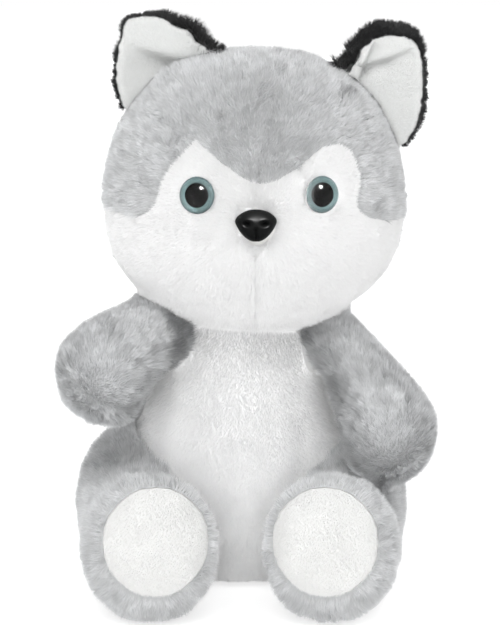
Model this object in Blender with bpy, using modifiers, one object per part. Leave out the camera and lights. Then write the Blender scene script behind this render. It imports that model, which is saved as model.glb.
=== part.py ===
"""A sitting plush husky, about 25 cm tall, sewn from plush panels over fibre stuffing.

Metres, +Z up, the face towards -Y. The origin is the middle of the flat seat.
The outside of each cloth solid is where the tips of its pile stand.
"""

import math

import bmesh
import bpy
from mathutils import Matrix, Vector
from mathutils.bvhtree import BVHTree

for old in list(bpy.data.objects):
    bpy.data.objects.remove(old, do_unlink=True)

# Cloth and sewing
skin = 0.0032                 # plush cloth with its pile
seam = 0.0003                 # clearance between two pieces that touch
cut_margin = 0.020            # how far a cutter runs past what it cuts

# Head
head_x = 0.0055               # the head leans a little to one side
head_y = -0.006
head_level = 0.157            # height at which the head is widest
head_half_width = 0.064
head_front = 0.050
head_back = 0.050
dome_height = 0.069           # from the widest level to the crown
bowl_depth = 0.050            # from the widest level down to the chin
dome_fullness = 2.3           # 2 is an ellipse, more is squarer
bowl_fullness = 2.05
muzzle_swell = 0.005
muzzle_radius = 0.022
muzzle_drop = 0.006           # its middle, below the nose

# White mask on the face: points of its edge as (x from the head's middle, height above the eyes)
mask_temple_left = (-0.0600, -0.0102)
mask_cheek_left = (-0.0470, -0.0107)
mask_corner_left = (-0.0400, -0.0057)
mask_flank_left = (-0.0355, 0.0068)
mask_brow_left = (-0.0230, 0.0213)
mask_slope_left = (-0.0080, 0.0091)
mask_peak = (0.0035, 0.0043)
mask_slope_right = (0.0165, 0.0100)
mask_brow_right = (0.0335, 0.0190)
mask_flank_right = (0.0425, 0.0058)
mask_corner_right = (0.0412, -0.0062)
mask_cheek_right = (0.0480, -0.0120)
mask_temple_right = (0.0615, -0.0152)

# Ears, each on its own spot of the dome, as angles from straight up
ear_angle_left = math.radians(-37.2)
ear_angle_right = math.radians(54)
ear_lean_left = math.radians(-15)
ear_lean_right = math.radians(19)
ear_height_left = 0.0275        # above the head's surface
ear_height_right = 0.0355
ear_root = 0.022              # hidden below it, until the head cuts it off
ear_half_width_left = 0.0248
ear_half_width_right = 0.0235
ear_taper = 0.35              # how much narrower it gets towards the tip
ear_thickness = 0.0070
ear_cup = 0.011               # how far the rim curls forward of the middle
ear_rim_left = (0.0035, 0.0018, 0.0025)    # black pile seen round the lining: inside, outside, on top
ear_rim_right = (0.0060, 0.0022, 0.0055)
ear_origin_rise = 0.012       # the ears' places are angles at this height over the widest level
lining_thickness = 0.0026
ear_set_back = 0.004          # behind the head's middle

# Eyes: clear dome, post with the pupil as its head, lock washer
eye_spacing = 0.051
eye_middle = 0.0022   # the pair's middle, from the head's middle
eye_height = 0.1712
eye_gaze = math.radians(5)    # both turned a little to one side
eye_radius = 0.0075
eye_dome = 0.0052
eye_flange = 0.0008
eye_flange_radius = 0.0070
pupil_radius = 0.0047
pupil_depth = 0.0024

# Nose
nose_x = 0.0005
nose_height = 0.1595
nose_half_width = 0.0100
nose_half_height = 0.0060
nose_depth = 0.0062
nose_taper = 0.42             # how much narrower the tip is than the top
nostril_radius = 0.0013
nostril_spacing = 0.0064
nostril_height = 0.0010
groove_width = 0.0005
groove_share = 0.86           # its bottom, as a share of the nose's depth
nostril_share = 0.92

# Stems and washers of the eyes and the nose
fitting_sink = 0.0020         # how deep a fitting is pressed into the pile
clamped_cloth = 0.0008        # what stays of the cloth between fitting and washer
stem_radius = 0.0022
stem_length = 0.0120
stem_ridge = 0.0003
stem_ridges = 2
ridge_share = 0.5             # of the way from one ridge to the next
stem_tip_share = 0.6
washer_radius = 0.0065
washer_thickness = 0.0012

# Body
body_front = 0.046
body_back = 0.038
body_half_width = 0.050
body_level = 0.042            # height at which the body is widest
seat_half_width = 0.041
seat_front = 0.0240
seat_back = 0.030
chest_level = 0.086
chest_half_width = 0.040
chest_front = 0.036
chest_back = 0.031
neck_level = 0.112
neck_half_width = 0.031
neck_front = 0.027
neck_back = 0.026
neck_top = 0.126
neck_cap = 0.005              # the topmost ring, below the tip
neck_cap_share = 0.7
seat_swell = 0.012            # a fuller ring above the seat
seat_drop = 0.004             # the form's end, below the floor that flattens it
seat_drop_share = 0.55

# White belly panel: half-widths of its front, and how far up it reaches at the seat's edge
belly_neck = 0.0340
belly_chest = 0.0420
belly_middle = 0.0460
belly_seat = 0.038
belly_under = 0.010           # the white's edge runs on this far below the floor
belly_widest = 1.3            # height of its widest place, in body levels
belly_side_seam = -0.004      # the front stops here, on the body's side
seat_edge = 0.006

# Arms
arm_radius = 0.0215
arm_root = 0.017              # hidden inside the body, until the body cuts it off
shoulder_left = (-0.0335, -0.006, 0.1055)
shoulder_right = (0.0355, -0.006, 0.1000)
paw_left = (-0.0520, -0.0360, 0.0960)
paw_right = (0.0570, -0.0370, 0.0715)
paw_radius = 0.0255
arm_depth_share = 0.92        # an arm is a little flatter front to back

# Legs
hip_x = 0.046
hip_y = 0.020                 # where the haunch ends behind
haunch_half_width = 0.0245
haunch_half_height = 0.0342
haunch_height = 0.0326
haunch_y = -0.008
shin_y = -0.050
shin_half_width = 0.0235
shin_half_height = 0.0260
shin_height = 0.0265
foot_x = 0.0365
foot_y = -0.074
foot_half_width = 0.0286
foot_half_height = 0.0326
foot_height = 0.0310
sole_y = -0.088
sole_round = 0.0030           # the foot's front edge is rounded from here
sole_round_share = 0.72
foot_edge = 0.0085            # and nearly full here
foot_edge_share = 0.95
hip_round = 0.012             # the haunch narrows behind from here
hip_round_share = 0.86
pad_half_width = 0.0210
pad_half_height = 0.0220
pad_height = 0.0355
pad_inset = 0.0025            # towards the other foot
pad_wrap = 0.0120             # how far the sole's cut runs in from its front

# Tail
tail_radius = 0.0155
tail_height = 0.026
tail_length = 0.040
tail_rise = 0.026
tail_root = 0.014

# Facets
head_around = 10
head_rings = 6
body_around = 8
limb_around = 6
ear_around = 6
turned_steps = 12
parts = bpy.data.collections.new("plush_husky")
tools = bpy.data.collections.new("cutters")
for collection in (parts, tools):
    bpy.context.scene.collection.children.link(collection)


def finish(name, colour, roughness):
    """A plain Principled finish."""
    material = bpy.data.materials.new(name)
    material.use_nodes = True
    shader = material.node_tree.nodes["Principled BSDF"]
    shader.inputs["Base Color"].default_value = (*colour, 1)
    shader.inputs["Roughness"].default_value = roughness
    shader.inputs["Metallic"].default_value = 0
    return material


grey, white, black = (0.43, 0.43, 0.44), (0.82, 0.82, 0.80), (0.012, 0.012, 0.012)


def piece(name, mesh, colour, roughness=0.95):
    """One sub-part with a finish of its own."""
    made = bpy.data.objects.new(name, mesh)
    mesh.materials.clear()
    mesh.materials.append(finish(name, colour, roughness))
    mesh.shade_smooth()
    parts.objects.link(made)
    return made


def cutter(name, mesh):
    """A shape that only cuts."""
    made = bpy.data.objects.new(name, mesh)
    made.hide_render = True
    made.display_type = "WIRE"
    tools.objects.link(made)
    return made


def evaluated(made):
    """The mesh that an object's modifiers give."""
    bpy.context.view_layer.update()
    graph = bpy.context.evaluated_depsgraph_get()
    return bpy.data.meshes.new_from_object(made.evaluated_get(graph))


def cut(made, tool, operation="DIFFERENCE"):
    """Cut an object with another, or keep what the two share."""
    boolean = made.modifiers.new(tool.name, "BOOLEAN")
    boolean.operation = operation
    boolean.solver = "EXACT"
    boolean.object = tool


def offset(mesh, distance):
    """The mesh moved out (or in) by an even distance."""
    form = bmesh.new()
    form.from_mesh(mesh)
    form.normal_update()
    moves = [vertex.normal * vertex.calc_shell_factor() * distance for vertex in form.verts]
    for vertex, move in zip(form.verts, moves):
        vertex.co += move
    moved = bpy.data.meshes.new(mesh.name)
    form.to_mesh(moved)
    form.free()
    return moved


def ring_power(value, fullness):
    return math.copysign(abs(value) ** (2 / fullness), value)


def stuffed_form(name, first, stations, last, around, place=Matrix(), shape=None):
    """A closed stuffed form along its own +Z, from the first end down to the last.

    A station is (x, y, z, half width, depth in front, depth behind, fullness). The stations are
    the rings of a cage, and the smooth surface is made to pass through them. It is cut into
    triangles here, so that the skin, the filling and the clearances have the same facets.
    """
    rings = len(stations) + 1
    form = bmesh.new()
    bmesh.ops.create_uvsphere(form, u_segments=around, v_segments=rings, radius=1)
    for vertex in form.verts:
        ring = round(math.acos(max(-1, min(1, vertex.co.z))) * rings / math.pi)
        if ring in (0, rings):
            vertex.co = Vector(first if ring == 0 else last)
        else:
            x, y, z, wide, front, behind, fullness = stations[ring - 1]
            angle = math.atan2(vertex.co.y, vertex.co.x)
            across = ring_power(math.cos(angle), fullness)
            deep = ring_power(math.sin(angle), fullness)
            vertex.co = Vector((x + wide * across, y + (front if deep < 0 else behind) * deep, z))
        vertex.co = place @ vertex.co
        if shape:
            vertex.co = shape(vertex.co)
    mesh = bpy.data.meshes.new(name)
    form.to_mesh(mesh)
    form.free()
    cage = cutter(name + "_cage", mesh)
    smooth = cage.modifiers.new("smooth", "SUBSURF")
    smooth.levels = smooth.render_levels = 1
    wanted = [vertex.co.copy() for vertex in mesh.vertices]
    for _ in range(3):
        reached = evaluated(cage)
        for vertex, target, point in zip(mesh.vertices, wanted, reached.vertices):
            vertex.co += target - point.co
    made = evaluated(cage)
    bpy.data.objects.remove(cage)
    facets = bmesh.new()
    facets.from_mesh(made)
    bmesh.ops.triangulate(facets, faces=facets.faces)
    facets.to_mesh(made)
    facets.free()
    return made


def rest(mesh):
    """Press the form flat where it would sink into the floor."""
    for vertex in mesh.vertices:
        vertex.co.z = max(vertex.co.z, 0)


def shell(name, mesh, colour):
    """A cloth skin: the form as a wall of cloth, closed until a panel is cut from it."""
    made = piece(name, mesh.copy(), colour)
    wall = made.modifiers.new("cloth", "SOLIDIFY")
    wall.thickness = skin
    wall.offset = -1
    wall.use_even_offset = True
    return made


def outline(name, points, depth, grow=0.0, corners=()):
    """A flat outline in X and Z, run through along Y between two depths, and grown evenly."""
    curve = bpy.data.curves.new(name, "CURVE")
    curve.dimensions = "2D"
    curve.fill_mode = "BOTH"
    curve.resolution_u = 3
    curve.render_resolution_u = 0
    curve.extrude = (depth[1] - depth[0]) / 2
    curve.offset = grow
    spline = curve.splines.new("BEZIER")
    spline.bezier_points.add(len(points) - 1)
    spline.use_cyclic_u = True
    for index, (knot, point) in enumerate(zip(spline.bezier_points, points)):
        knot.co = (*point, 0)
        handle = "VECTOR" if index in corners else "AUTO"
        knot.handle_left_type = knot.handle_right_type = handle
    flat = bpy.data.objects.new(name, curve)
    tools.objects.link(flat)
    mesh = evaluated(flat)
    bpy.data.objects.remove(flat)
    form = bmesh.new()
    form.from_mesh(mesh)
    bmesh.ops.remove_doubles(form, verts=form.verts, dist=0.00001)
    stand = Matrix.Translation((0, sum(depth) / 2, 0)) @ Matrix.Rotation(math.pi / 2, 4, "X")
    bmesh.ops.transform(form, matrix=stand, verts=form.verts)
    bmesh.ops.recalc_face_normals(form, faces=form.faces)
    form.to_mesh(mesh)
    form.free()
    return mesh


def box(name, low, high):
    """A box between two corners."""
    form = bmesh.new()
    bmesh.ops.create_cube(form, size=1)
    for vertex in form.verts:
        for axis in range(3):
            vertex.co[axis] = low[axis] if vertex.co[axis] < 0 else high[axis]
    mesh = bpy.data.meshes.new(name)
    form.to_mesh(mesh)
    form.free()
    return cutter(name, mesh)


def turned(name, profile, place):
    """A turned shape from (radius, height) points, top to bottom, about the placement's +Z."""
    mesh = bpy.data.meshes.new(name)
    points = [(radius, 0, height) for radius, height in profile]
    mesh.from_pydata(points, [(index, index + 1) for index in range(len(points) - 1)], [])
    made = bpy.data.objects.new(name, mesh)
    made.matrix_world = place
    turn = made.modifiers.new("turn", "SCREW")
    turn.steps = turn.render_steps = turned_steps
    turn.use_merge_vertices = True
    turn.merge_threshold = 0.00001
    turn.use_smooth_shade = True
    return made


reach = 0.3                   # further than any piece of the toy, for cuts that run right through

# Head form
def head_station(ring):
    """One ring of the head, counted from the crown."""
    angle = ring * math.pi / (head_rings + 1)
    above = math.cos(angle) > 0
    fullness = dome_fullness if above else bowl_fullness
    rise = (dome_height if above else bowl_depth) * ring_power(math.cos(angle), fullness)
    share = ring_power(math.sin(angle), fullness)
    return (head_x, head_y, head_level + rise, head_half_width * share, head_front * share,
            head_back * share, 2.15)


def with_muzzle(point):
    """The head's front swells a little round the nose."""
    if point.y > head_y:
        return point
    away = math.hypot(point.x - head_x - nose_x, point.z - nose_height + muzzle_drop)
    swell = muzzle_swell * math.exp(-((away / muzzle_radius) ** 2))
    return point - Vector((0, swell, 0))


head_form = stuffed_form(
    "head",
    (head_x, head_y, head_level + dome_height),
    [head_station(ring) for ring in range(1, head_rings + 1)],
    (head_x, head_y, head_level - bowl_depth),
    head_around,
    shape=with_muzzle,
)
head_clearance = cutter("head_clearance", offset(head_form, seam))
head_surface = BVHTree.FromPolygons(
    [vertex.co for vertex in head_form.vertices], [face.vertices for face in head_form.polygons]
)


def on_head(x, z):
    """Where the face lies at this place, and which way it faces."""
    point, normal, _, _ = head_surface.ray_cast(Vector((x, -reach, z)), Vector((0, 1, 0)))
    return point, normal


# The mask's edge, then round under the chin and past the cheeks
mask_points = [
    (head_x + x, eye_height + rise)
    for x, rise in (
        mask_temple_right, mask_cheek_right, mask_corner_right, mask_flank_right, mask_brow_right,
        mask_slope_right, mask_peak, mask_slope_left, mask_brow_left, mask_flank_left,
        mask_corner_left, mask_cheek_left, mask_temple_left,
    )
]
below = head_level - bowl_depth - cut_margin
past = head_half_width + cut_margin
mask_points += [
    (head_x - past, mask_points[-1][1]), (head_x - past, below),
    (head_x + past, below), (head_x + past, mask_points[0][1]),
]
mask_corners = (0, 8, 12, 13, 14, 15, 16)
mask = cutter("mask", outline("mask", mask_points, (-reach, head_y), -seam / 2, mask_corners))
mask_opening = cutter(
    "mask_opening",
    outline("mask_opening", mask_points, (-reach, head_y + seam), seam / 2, mask_corners),
)

hood = shell("hood", head_form, grey)
cut(hood, mask_opening)
centre_seam = head_x + nose_x
for side, name in ((-1, "face_panel_left"), (1, "face_panel_right")):
    half = sorted((centre_seam + side * seam / 2, centre_seam + side * reach))
    keep = box(name + "_half", (half[0], -reach, 0), (half[1], reach, reach))
    face = shell(name, head_form, white)
    cut(face, mask, "INTERSECT")
    cut(face, keep, "INTERSECT")

head_stuffing = piece("head_stuffing", offset(head_form, -skin - seam), white)

# Stems and washers of the fittings, in one frame: +Z out of the face, zero at the back of the flange
washer_front = -clamped_cloth - 2 * seam
washer_back = washer_front - washer_thickness


def facing(x, z, gaze=0.0):
    """The frame of a fitting pressed into the face at this place."""
    point, normal = on_head(x, z)
    normal = Matrix.Rotation(gaze, 3, "Z") @ normal
    turn = normal.to_track_quat("Z", "Y").to_matrix().to_4x4()
    return Matrix.Translation(point - normal * fitting_sink) @ turn


def stem_profile():
    """The ridged stem from the flange's back down to its round tip."""
    points = [(stem_radius, 0), (stem_radius, washer_back - seam)]
    free = stem_length + washer_back - 2 * seam - stem_radius
    for ridge in range(stem_ridges):
        top = washer_back - seam - free * ridge / stem_ridges
        low = top - free / stem_ridges * ridge_share
        points += [(stem_radius + stem_ridge, low), (stem_radius, low)]
    points += [(stem_radius * stem_tip_share, -stem_length), (0, -stem_length)]
    return points


def fitting_clearance(name, radius, place):
    """The room that a fitting, its stem and its washer take in cloth and stuffing."""
    hole = stem_radius + seam
    wide = washer_radius + seam
    profile = [
        (0, cut_margin), (radius + seam, cut_margin), (radius + seam, -seam), (hole, -seam),
        (hole, -seam - clamped_cloth), (wide, -seam - clamped_cloth), (wide, washer_back - seam),
        (hole + stem_ridge, washer_back - seam), (hole + stem_ridge, -stem_length - seam),
        (0, -stem_length - seam),
    ]
    room = turned(name, profile, place)
    room.hide_render = True
    room.display_type = "WIRE"
    tools.objects.link(room)
    for cloth in (hood, *(bpy.data.objects[n] for n in ("face_panel_left", "face_panel_right"))):
        cut(cloth, room)
    cut(head_stuffing, room)


def washer(name, place):
    """A lock washer pressed over a stem."""
    profile = [
        (stem_radius + seam, washer_front), (washer_radius, washer_front),
        (washer_radius, washer_back), (stem_radius + seam, washer_back),
        (stem_radius + seam, washer_front),
    ]
    made = turned(name, profile, place)
    made.data.materials.append(finish(name, (0.7, 0.7, 0.7), 0.5))
    parts.objects.link(made)


def eye(side, name):
    """A clear dome over a post whose head is the pupil, held by a washer."""
    x = head_x + eye_middle + side * eye_spacing / 2
    place = facing(x, eye_height, eye_gaze)
    dome_sphere = (eye_radius ** 2 + eye_dome ** 2) / (2 * eye_dome)
    turn = math.asin(eye_radius / dome_sphere)
    rise = eye_flange + seam
    arc = [
        (dome_sphere * math.sin(turn * step / 5), rise + eye_dome - dome_sphere
         + dome_sphere * math.cos(turn * step / 5))
        for step in range(6)
    ]
    recess = pupil_radius + seam
    lens = turned(
        "eye_lens_" + name,
        arc + [(recess, rise), (recess, rise + pupil_depth), (0, rise + pupil_depth)],
        place,
    )
    lens.data.materials.append(finish("eye_lens_" + name, (0.20, 0.29, 0.30), 0.1))
    pupil_top = rise + pupil_depth - seam
    post = turned(
        "eye_post_" + name,
        [(0, pupil_top), (pupil_radius, pupil_top), (pupil_radius, eye_flange),
         (eye_flange_radius, eye_flange), (eye_flange_radius, 0)] + stem_profile(),
        place,
    )
    post.data.materials.append(finish("eye_post_" + name, black, 0.3))
    for made in (lens, post):
        parts.objects.link(made)
    washer("eye_washer_" + name, place)
    fitting_clearance("eye_room_" + name, eye_radius, place)


eye(-1, "left")
eye(1, "right")


# Nose
def nose_station(ring, rings=4):
    """One ring of the nose, from its top edge down to its tip."""
    angle = ring * math.pi / (rings + 1)
    height = math.cos(angle)
    share = math.sin(angle) ** 0.8 * (1 - nose_taper * (1 - height) / 2)
    return (0, 0, nose_half_height * height, nose_half_width * share,
            nose_depth * math.sin(angle) ** 0.6, fitting_sink, 2.2)


nose_place = facing(head_x + nose_x, nose_height)
upright = nose_place @ Matrix.Rotation(-math.pi / 2, 4, "X")
nose_mesh = stuffed_form(
    "nose", (0, 0, nose_half_height), [nose_station(ring) for ring in range(1, 5)],
    (0, 0, -nose_half_height), 8,
)
nose = piece("nose", nose_mesh, black, 0.35)
nose.matrix_world = upright
nose_back = box(
    "nose_back", (-cut_margin, 0, -cut_margin), (cut_margin, cut_margin, cut_margin)
)
nose_back.matrix_world = upright
cut(nose, nose_back)
for side in (-1, 1):
    nostril = bmesh.new()
    bmesh.ops.create_uvsphere(nostril, u_segments=6, v_segments=4, radius=nostril_radius)
    mesh = bpy.data.meshes.new("nostril")
    nostril.to_mesh(mesh)
    nostril.free()
    hollow = cutter("nostril", mesh)
    hollow.matrix_world = upright @ Matrix.Translation(
        (side * nostril_spacing / 2, -nose_depth * nostril_share, nostril_height)
    )
    cut(nose, hollow)
groove = box(
    "nose_groove", (-groove_width / 2, -cut_margin, -cut_margin),
    (groove_width / 2, -nose_depth * groove_share, 0),
)
groove.matrix_world = upright
cut(nose, groove)
nose_stem = turned(
    "nose_stem", [(0, fitting_sink), (stem_radius, fitting_sink)] + stem_profile(), nose_place
)
nose_stem.hide_render = True
nose_stem.display_type = "WIRE"
tools.objects.link(nose_stem)
cut(nose, nose_stem, "UNION")
washer("nose_washer", nose_place)
fitting_clearance("nose_room", nose_half_width, nose_place)


# Ears
def ear(name, side, angle, lean, height, half_wide, rim):
    """A black back with a white lining, curled forward at the rim and set on the dome."""
    ray = Vector((math.sin(angle), 0, math.cos(angle)))
    middle = Vector((head_x, head_y + ear_set_back, head_level + ear_origin_rise))
    seat, _, _, _ = head_surface.ray_cast(middle, ray)
    place = Matrix.Translation(seat) @ Matrix.Rotation(lean, 4, "Y")

    inside, outside, above = rim

    def leaf(x, half_width, top, front, behind, y, rings=4):
        """Rings of a leaf-shaped pad: widest at its foot, round at its tip."""
        stations = []
        for ring in range(1, rings + 1):
            turn = ring * math.pi / (rings + 1)
            height = (top - ear_root) / 2 + (top + ear_root) / 2 * math.cos(turn)
            share = math.sin(turn) ** 0.55 * (1 - ear_taper * max(0, height / top))
            stations.append((x, y, height, half_width * share, front, behind, 2))
        return stations

    def curled(point):
        """The rim comes forward of the middle."""
        local = place.inverted() @ point
        local.y -= ear_cup * (local.x / half_wide) ** 2
        return place @ local

    half = ear_thickness / 2
    back_mesh = stuffed_form(
        "ear_back", (0, 0, height), leaf(0, half_wide, height, half, half, 0),
        (0, 0, -ear_root), ear_around, place, curled,
    )
    top = height - above
    shift = side * (inside - outside) / 2
    narrow = half_wide - (inside + outside) / 2
    front_mesh = stuffed_form(
        "ear_lining", (shift, -half, top),
        leaf(shift, narrow, top, lining_thickness, half, -half),
        (shift, -half, -ear_root), ear_around, place, curled,
    )
    back = piece("ear_back_" + name, back_mesh, black)
    lining = piece("ear_lining_" + name, front_mesh, white)
    cut(back, head_clearance)
    cut(lining, cutter("ear_back_room_" + name, offset(back_mesh, seam)))
    cut(lining, head_clearance)


ear(
    "left", -1, ear_angle_left, ear_lean_left, ear_height_left, ear_half_width_left, ear_rim_left
)
ear(
    "right", 1, ear_angle_right, ear_lean_right, ear_height_right, ear_half_width_right, ear_rim_right
)

# Body form, from the neck down to the seat
body_form = stuffed_form(
    "body",
    (0, 0, neck_top),
    [
        (0, 0, neck_top - neck_cap, neck_half_width * neck_cap_share,
         neck_front * neck_cap_share, neck_back * neck_cap_share, 2),
        (0, 0, neck_level, neck_half_width, neck_front, neck_back, 2),
        (0, 0, chest_level, chest_half_width, chest_front, chest_back, 2),
        (0, 0, body_level, body_half_width, body_front, body_back, 2.1),
        (0, 0, seat_swell, (body_half_width + seat_half_width) / 2, (body_front + seat_front) / 2,
         (body_back + seat_back) / 2, 2.1),
        (0, 0, 0, seat_half_width, seat_front, seat_back, 2),
        (0, 0, -seat_drop, seat_half_width * seat_drop_share, seat_front * seat_drop_share,
         seat_back * seat_drop_share, 2),
    ],
    (0, 0, -seat_drop),
    body_around,
)
body_clearance = cutter("body_clearance", offset(body_form, seam))
rest(body_form)

belly_points = [
    (-belly_neck, neck_level), (-belly_chest, chest_level), (-belly_middle, body_level * belly_widest),
    (-belly_seat, -belly_under), (belly_seat, -belly_under),
    (belly_middle, body_level * belly_widest),
    (belly_chest, chest_level), (belly_neck, neck_level), (belly_neck, neck_top + cut_margin),
    (-belly_neck, neck_top + cut_margin),
]


def belly_cutter(name, grow):
    """The front outline of the belly panel, and under the seat all of it up to the seat's edge."""
    through = cutter(name, outline(name, belly_points, (-reach, reach), grow, (3, 4, 8, 9)))
    behind = box(name + "_behind", (-reach, belly_side_seam + grow, seat_edge + grow),
                 (reach, reach * 2, reach))
    cut(through, behind)
    return through


belly_panel = shell("belly_panel", body_form, white)
cut(belly_panel, belly_cutter("belly_outline", -seam / 2), "INTERSECT")
cut(belly_panel, head_clearance)
belly_opening = belly_cutter("belly_opening", seam / 2)
for side, name in ((-1, "back_panel_left"), (1, "back_panel_right")):
    half = sorted((side * seam / 2, side * reach))
    keep = box(name + "_half", (half[0], -reach, -reach), (half[1], reach, reach))
    panel = shell(name, body_form, grey)
    cut(panel, belly_opening)
    cut(panel, keep, "INTERSECT")
    cut(panel, head_clearance)
body_stuffing = piece("body_stuffing", offset(body_form, -skin - seam), white)
cut(body_stuffing, head_clearance)


# Legs, from the haunch behind to the sole in front
def leg(side, name):
    """A grey sleeve with a white pad let into the sole."""
    forward = Matrix.Rotation(math.pi / 2, 4, "X")      # the form's +Z points to the sole, -Y
    knee_x = (hip_x + foot_x) / 2

    def ring(x, y, z, wide, high, fullness=2.1):
        return (side * x, z, -y, wide, high, high, fullness)

    stations = [
        ring(foot_x, sole_y + sole_round, foot_height, foot_half_width * sole_round_share,
             foot_half_height * sole_round_share, 2),
        ring(foot_x, sole_y + foot_edge, foot_height, foot_half_width * foot_edge_share,
             foot_half_height * foot_edge_share),
        ring(foot_x, foot_y, foot_height, foot_half_width, foot_half_height),
        ring(knee_x, shin_y, shin_height, shin_half_width, shin_half_height),
        ring(hip_x, haunch_y, haunch_height, haunch_half_width, haunch_half_height),
        ring(hip_x, hip_y - hip_round, haunch_height, haunch_half_width * hip_round_share,
             haunch_half_height * hip_round_share, 2),
    ]
    form = stuffed_form(
        "leg_" + name, (side * foot_x, foot_height, -sole_y), stations,
        (side * hip_x, haunch_height, -hip_y), limb_around, forward,
    )
    clearance = cutter("leg_clearance_" + name, offset(form, seam))
    rest(form)
    pad_points = [
        (side * (foot_x - pad_inset) + pad_half_width * math.cos(turn),
         pad_height + pad_half_height * math.sin(turn))
        for turn in (step * math.pi / 4 for step in range(8))
    ]
    pad_depth = (-reach, sole_y + pad_wrap)
    pad_cutter = cutter("pad_" + name, outline("pad_" + name, pad_points, pad_depth, -seam / 2))
    opening = cutter(
        "sole_opening_" + name,
        outline("sole_opening_" + name, pad_points, (-reach, pad_depth[1] + seam), seam / 2),
    )
    pad = shell("foot_pad_" + name, form, white)
    cut(pad, pad_cutter, "INTERSECT")
    sleeve = shell("leg_skin_" + name, form, grey)
    cut(sleeve, opening)
    cut(sleeve, body_clearance)
    filling = piece("leg_stuffing_" + name, offset(form, -skin - seam), white)
    cut(filling, body_clearance)
    return clearance


leg_clearances = {"left": leg(-1, "left"), "right": leg(1, "right")}


# Arms, from the shoulder inside the body to the paw
def arm(name, shoulder, paw):
    """A grey sleeve hanging from the shoulder, fullest at the paw."""
    start, end = Vector(shoulder), Vector(paw)
    along = (end - start).normalized()
    turn = along.to_track_quat("Z", "Y").to_matrix().to_4x4()
    place = Matrix.Translation(start) @ turn
    length = (end - start).length
    tip = length + paw_radius

    def ring(height, radius):
        return (0, 0, height, radius, radius * arm_depth_share, radius * arm_depth_share, 2)

    stations = [
        ring(length + paw_radius * 0.80, paw_radius * 0.60),
        ring(length + paw_radius * 0.42, paw_radius * 0.905),
        ring(length, paw_radius),
        ring(length * 0.3, arm_radius),
        ring(-arm_root * 0.75, arm_radius * 0.7),
    ]
    form = stuffed_form("arm_" + name, (0, 0, tip), stations, (0, 0, -arm_root), limb_around, place)
    sleeve = shell("arm_skin_" + name, form, grey)
    filling = piece("arm_stuffing_" + name, offset(form, -skin - seam), white)
    for made in (sleeve, filling):
        cut(made, body_clearance)
        cut(made, head_clearance)
        cut(made, leg_clearances[name])


arm("left", shoulder_left, paw_left)
arm("right", shoulder_right, paw_right)

# Tail, on the back seam above the seat
tail_place = Matrix.Translation((0, body_back, tail_height)) @ Matrix.Rotation(-math.pi / 2, 4, "X")
tail_stations = []
for ring in range(1, 5):
    turn = ring * math.pi / 5
    along = (tail_length - tail_root) / 2 + (tail_length + tail_root) / 2 * math.cos(turn)
    rise = -tail_rise * max(0, along / tail_length) ** 2
    radius = tail_radius * math.sin(turn) ** 0.6
    tail_stations.append((0, rise, along, radius, radius, radius, 2))
tail_form = stuffed_form(
    "tail", (0, -tail_rise, tail_length), tail_stations, (0, 0, -tail_root), limb_around, tail_place
)
tail_skin = shell("tail_skin", tail_form, grey)
tail_stuffing = piece("tail_stuffing", offset(tail_form, -skin - seam), white)
for made in (tail_skin, tail_stuffing):
    cut(made, body_clearance)
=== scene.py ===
"""A sitting plush husky: strands of pile on every panel, moulded eyes and a moulded nose."""
import math

import bmesh
import bpy
from mathutils import Matrix, Vector, kdtree, noise


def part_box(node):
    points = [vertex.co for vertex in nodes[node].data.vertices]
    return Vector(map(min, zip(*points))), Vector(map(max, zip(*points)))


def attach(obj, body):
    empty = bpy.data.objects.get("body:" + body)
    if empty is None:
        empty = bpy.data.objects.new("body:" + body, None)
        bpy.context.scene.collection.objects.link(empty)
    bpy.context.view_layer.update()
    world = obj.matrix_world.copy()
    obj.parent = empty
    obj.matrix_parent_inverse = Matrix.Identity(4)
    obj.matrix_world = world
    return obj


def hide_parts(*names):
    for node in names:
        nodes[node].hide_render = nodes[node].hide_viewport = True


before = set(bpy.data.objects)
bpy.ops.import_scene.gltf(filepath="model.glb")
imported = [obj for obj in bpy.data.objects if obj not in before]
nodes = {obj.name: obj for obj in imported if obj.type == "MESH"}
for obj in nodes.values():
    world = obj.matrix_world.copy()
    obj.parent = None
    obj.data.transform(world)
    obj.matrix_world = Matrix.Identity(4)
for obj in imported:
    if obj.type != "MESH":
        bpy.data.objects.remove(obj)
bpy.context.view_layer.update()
scene = bpy.context.scene

# Camera: a long lens a little above the toy's middle, looking slightly down at it.
# The photograph is 500 by 625, so the lens covers its height.
look_at = Vector((0.0038, -0.010, 0.115))
look_down = math.radians(11)
camera_away = 1.15
photo_width, photo_height = 500, 625
camera_data = bpy.data.cameras.new("camera")
camera_data.lens = 157.7
camera = bpy.data.objects.new("camera", camera_data)
camera.location = look_at + camera_away * Vector((0, -math.cos(look_down), math.sin(look_down)))
camera.rotation_euler = (math.pi / 2 - look_down, 0, 0)
scene.collection.objects.link(camera)
scene.camera = camera
scene.view_settings.view_transform = "Standard"
camera_turn = camera.rotation_euler.to_matrix()
pixel = camera_data.sensor_width / camera_data.lens / photo_height

# Cloth blanks: every panel is cut from one stuffed shape, so its seams stay in line.
# The shape is the frame's panels and filling run together, rounded as the filling pushes
# them, and set in by the room for the pile. A panel is what its own wall keeps of it.
stuffed_names = [
    name for name in nodes
    if name == "hood" or any(word in name for word in ("_skin", "_panel", "stuffing", "foot_pad",
                                                       "washer", "eye_post"))
]
gap_closed = 0.0003
grain = 0.0018
rounding = 30
rounding_again = 2
smooth_share = 0.5
pile_room = 0.0018
weld = 1e-6
least_kept = 0.2
arm_pulls = {
    "left": ((188, 388, -26, 0, 50, 26), (165, 412, -9, 0, 30, 16)),
    "right": ((312, 430, 26, 0, 50, 36), (302, 382, 17, 0, 34, 28), (332, 468, 9, 0, 30, 14)),
}


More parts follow.
